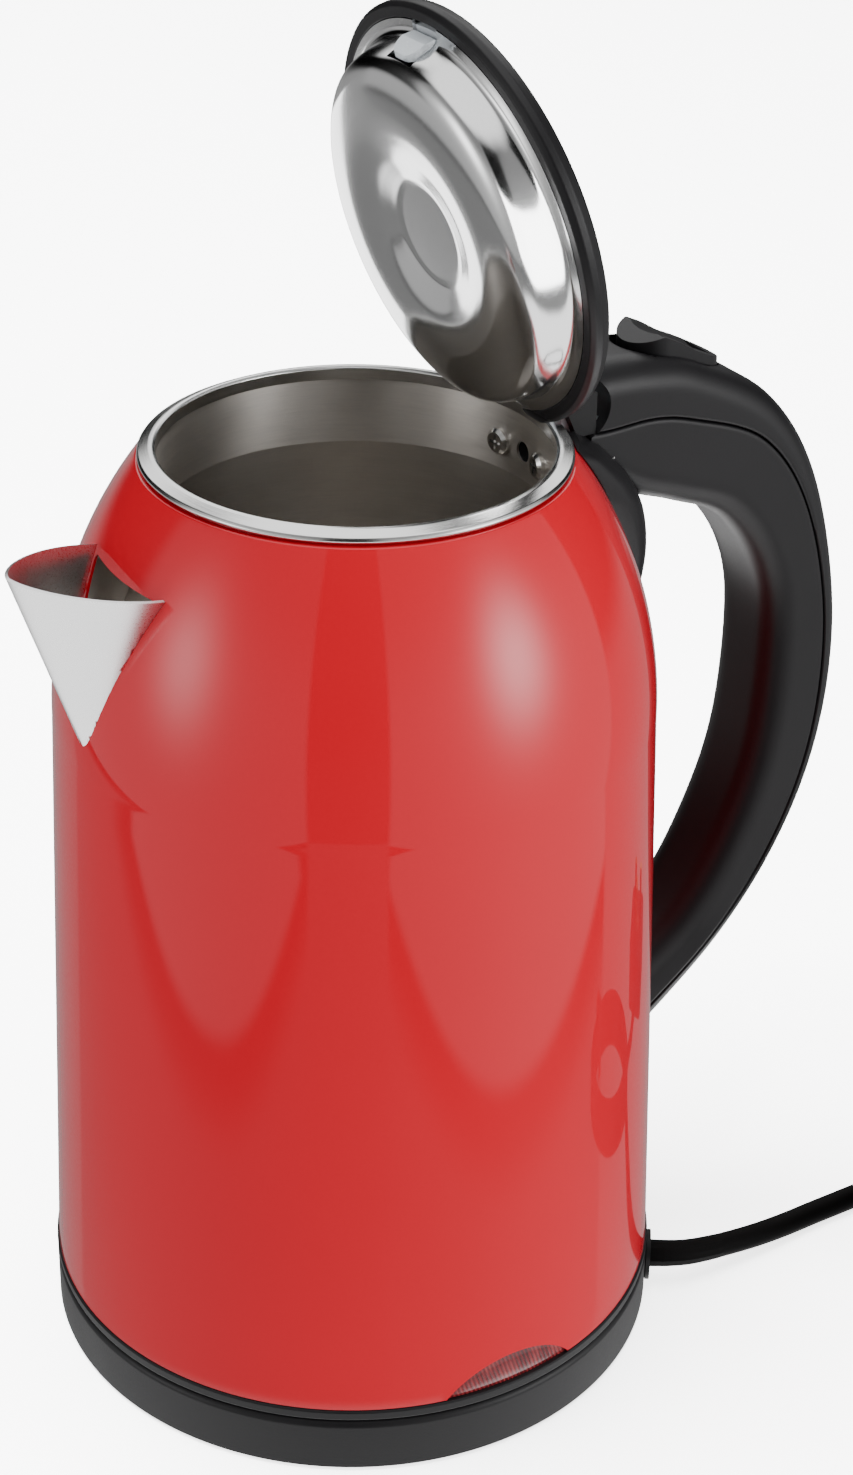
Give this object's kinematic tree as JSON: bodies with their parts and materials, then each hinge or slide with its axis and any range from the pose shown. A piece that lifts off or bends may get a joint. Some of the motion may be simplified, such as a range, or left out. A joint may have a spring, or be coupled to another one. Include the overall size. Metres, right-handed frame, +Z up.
{
  "type": "electric kettle",
  "caption": "Double-wall electric kettle with a tapered body, short spout, loop handle and hinged lid, standing open on a round power base with its cord and plug.",
  "frame": {"origin": "on the table, on the axis of the kettle and of its base, at the underside of the base", "axes": "+Z up along the kettle axis, +X towards the handle, -X towards the spout, +Y completes the right-handed set"},
  "size_m": [0.3496, 0.2051, 0.3603],
  "materials": {
    "red_enamel": "high gloss metallic red coat",
    "brushed_inside": "brushed round the axis",
    "satin_rim": "satin, brushed round the axis",
    "satin_spout": "satin",
    "lid_steel": "satin",
    "screw_steel": "bright",
    "spring_steel": "drawn wire",
    "dark_metal": "cast",
    "black_plastic": "satin black, fine moulded texture",
    "black_matte": "matt black",
    "grey_plastic": "light grey, satin",
    "white_plastic": "white, satin",
    "clear_latch": "milky, translucent",
    "lens": "tinted clear window",
    "rubber": "matt",
    "cord_skin": "satin black",
    "contact_brass": "plated",
    "wire_skin": "satin",
    "fuse_red": "satin"
  },
  "bodies": {
    "base": {"base_housing": "black_plastic", "base_plate": "black_matte", "base_foot": "rubber", "base_screws": "screw_steel", "base_connector": "black_matte", "base_contacts": "contact_brass", "cord_gland": "black_matte", "cord_clamp": "black_matte", "strain_relief": "cord_skin", "power_lead": "cord_skin", "lead_coil": "cord_skin", "lead_tie": "black_matte", "plug_body": "black_plastic", "plug_pins": "contact_brass", "plug_fuse_cover": "fuse_red"},
    "coupler": {"coupler_socket": "white_plastic", "coupler_contacts": "contact_brass"},
    "kettle": {"outer_shell": "red_enamel", "inner_pot": "brushed_inside", "neck_rim": "satin_rim", "spout": "satin_spout", "spout_throat": "brushed_inside", "element_plate": "dark_metal", "heating_element": "dark_metal", "control_unit": "white_plastic", "bottom_ring": "black_plastic", "bottom_screws": "screw_steel", "indicator_lens": "lens", "indicator_lamp": "white_plastic", "handle_body": "black_plastic", "handle_cover": "black_plastic", "handle_screws": "screw_steel", "neck_screws": "screw_steel", "steam_tube": "rubber", "steam_switch": "white_plastic", "bimetal_disc": "dark_metal", "handle_wires": "wire_skin", "hinge_bracket": "grey_plastic", "hinge_cover": "black_matte", "hinge_pin": "screw_steel", "hinge_spring": "spring_steel", "switch_pin": "screw_steel"},
    "switch": {"switch_rocker": "black_plastic"},
    "lid": {"lid_ring": "black_plastic", "lid_cap": "lid_steel", "lid_pan": "lid_steel", "lid_frame": "grey_plastic", "lid_screws": "screw_steel", "latch_spring": "spring_steel"},
    "latch": {"lid_latch": "clear_latch"},
    "button": {"lid_button": "black_plastic"}
  },
  "joints": [
    {"name": "base_lift", "type": "slide", "parent": "base", "child": "coupler", "axis": [0, 0, 1], "range_m": [0, 0.06]},
    {"name": "kettle_turn", "type": "hinge", "parent": "coupler", "child": "kettle", "pos_m": [0, 0, 0.02], "axis": [0, 0, 1], "continuous": true},
    {"name": "lid_hinge", "type": "hinge", "parent": "kettle", "child": "lid", "pos_m": [0.047, 0, 0.2635], "axis": [0, 1, 0], "range_deg": [-76.5, 0]},
    {"name": "button_press", "type": "slide", "parent": "lid", "child": "button", "axis": [-0.9724, 0, -0.2334], "range_m": [0, 0.0025], "stiffness_N_per_m": 900, "springref_m": -0.001},
    {"name": "latch_slide", "type": "slide", "parent": "lid", "child": "latch", "axis": [0.2334, 0, -0.9724], "range_m": [0, 0.0025], "stiffness_N_per_m": 300, "springref_m": -0.001},
    {"name": "switch_rock", "type": "hinge", "parent": "kettle", "child": "switch", "pos_m": [0.094, 0, 0.252], "axis": [0, 1, 0], "range_deg": [-6, 0]}
  ],
  "couplings": [
    {"joint": "latch_slide", "follows": "button_press", "ratio": 1}
  ]
}
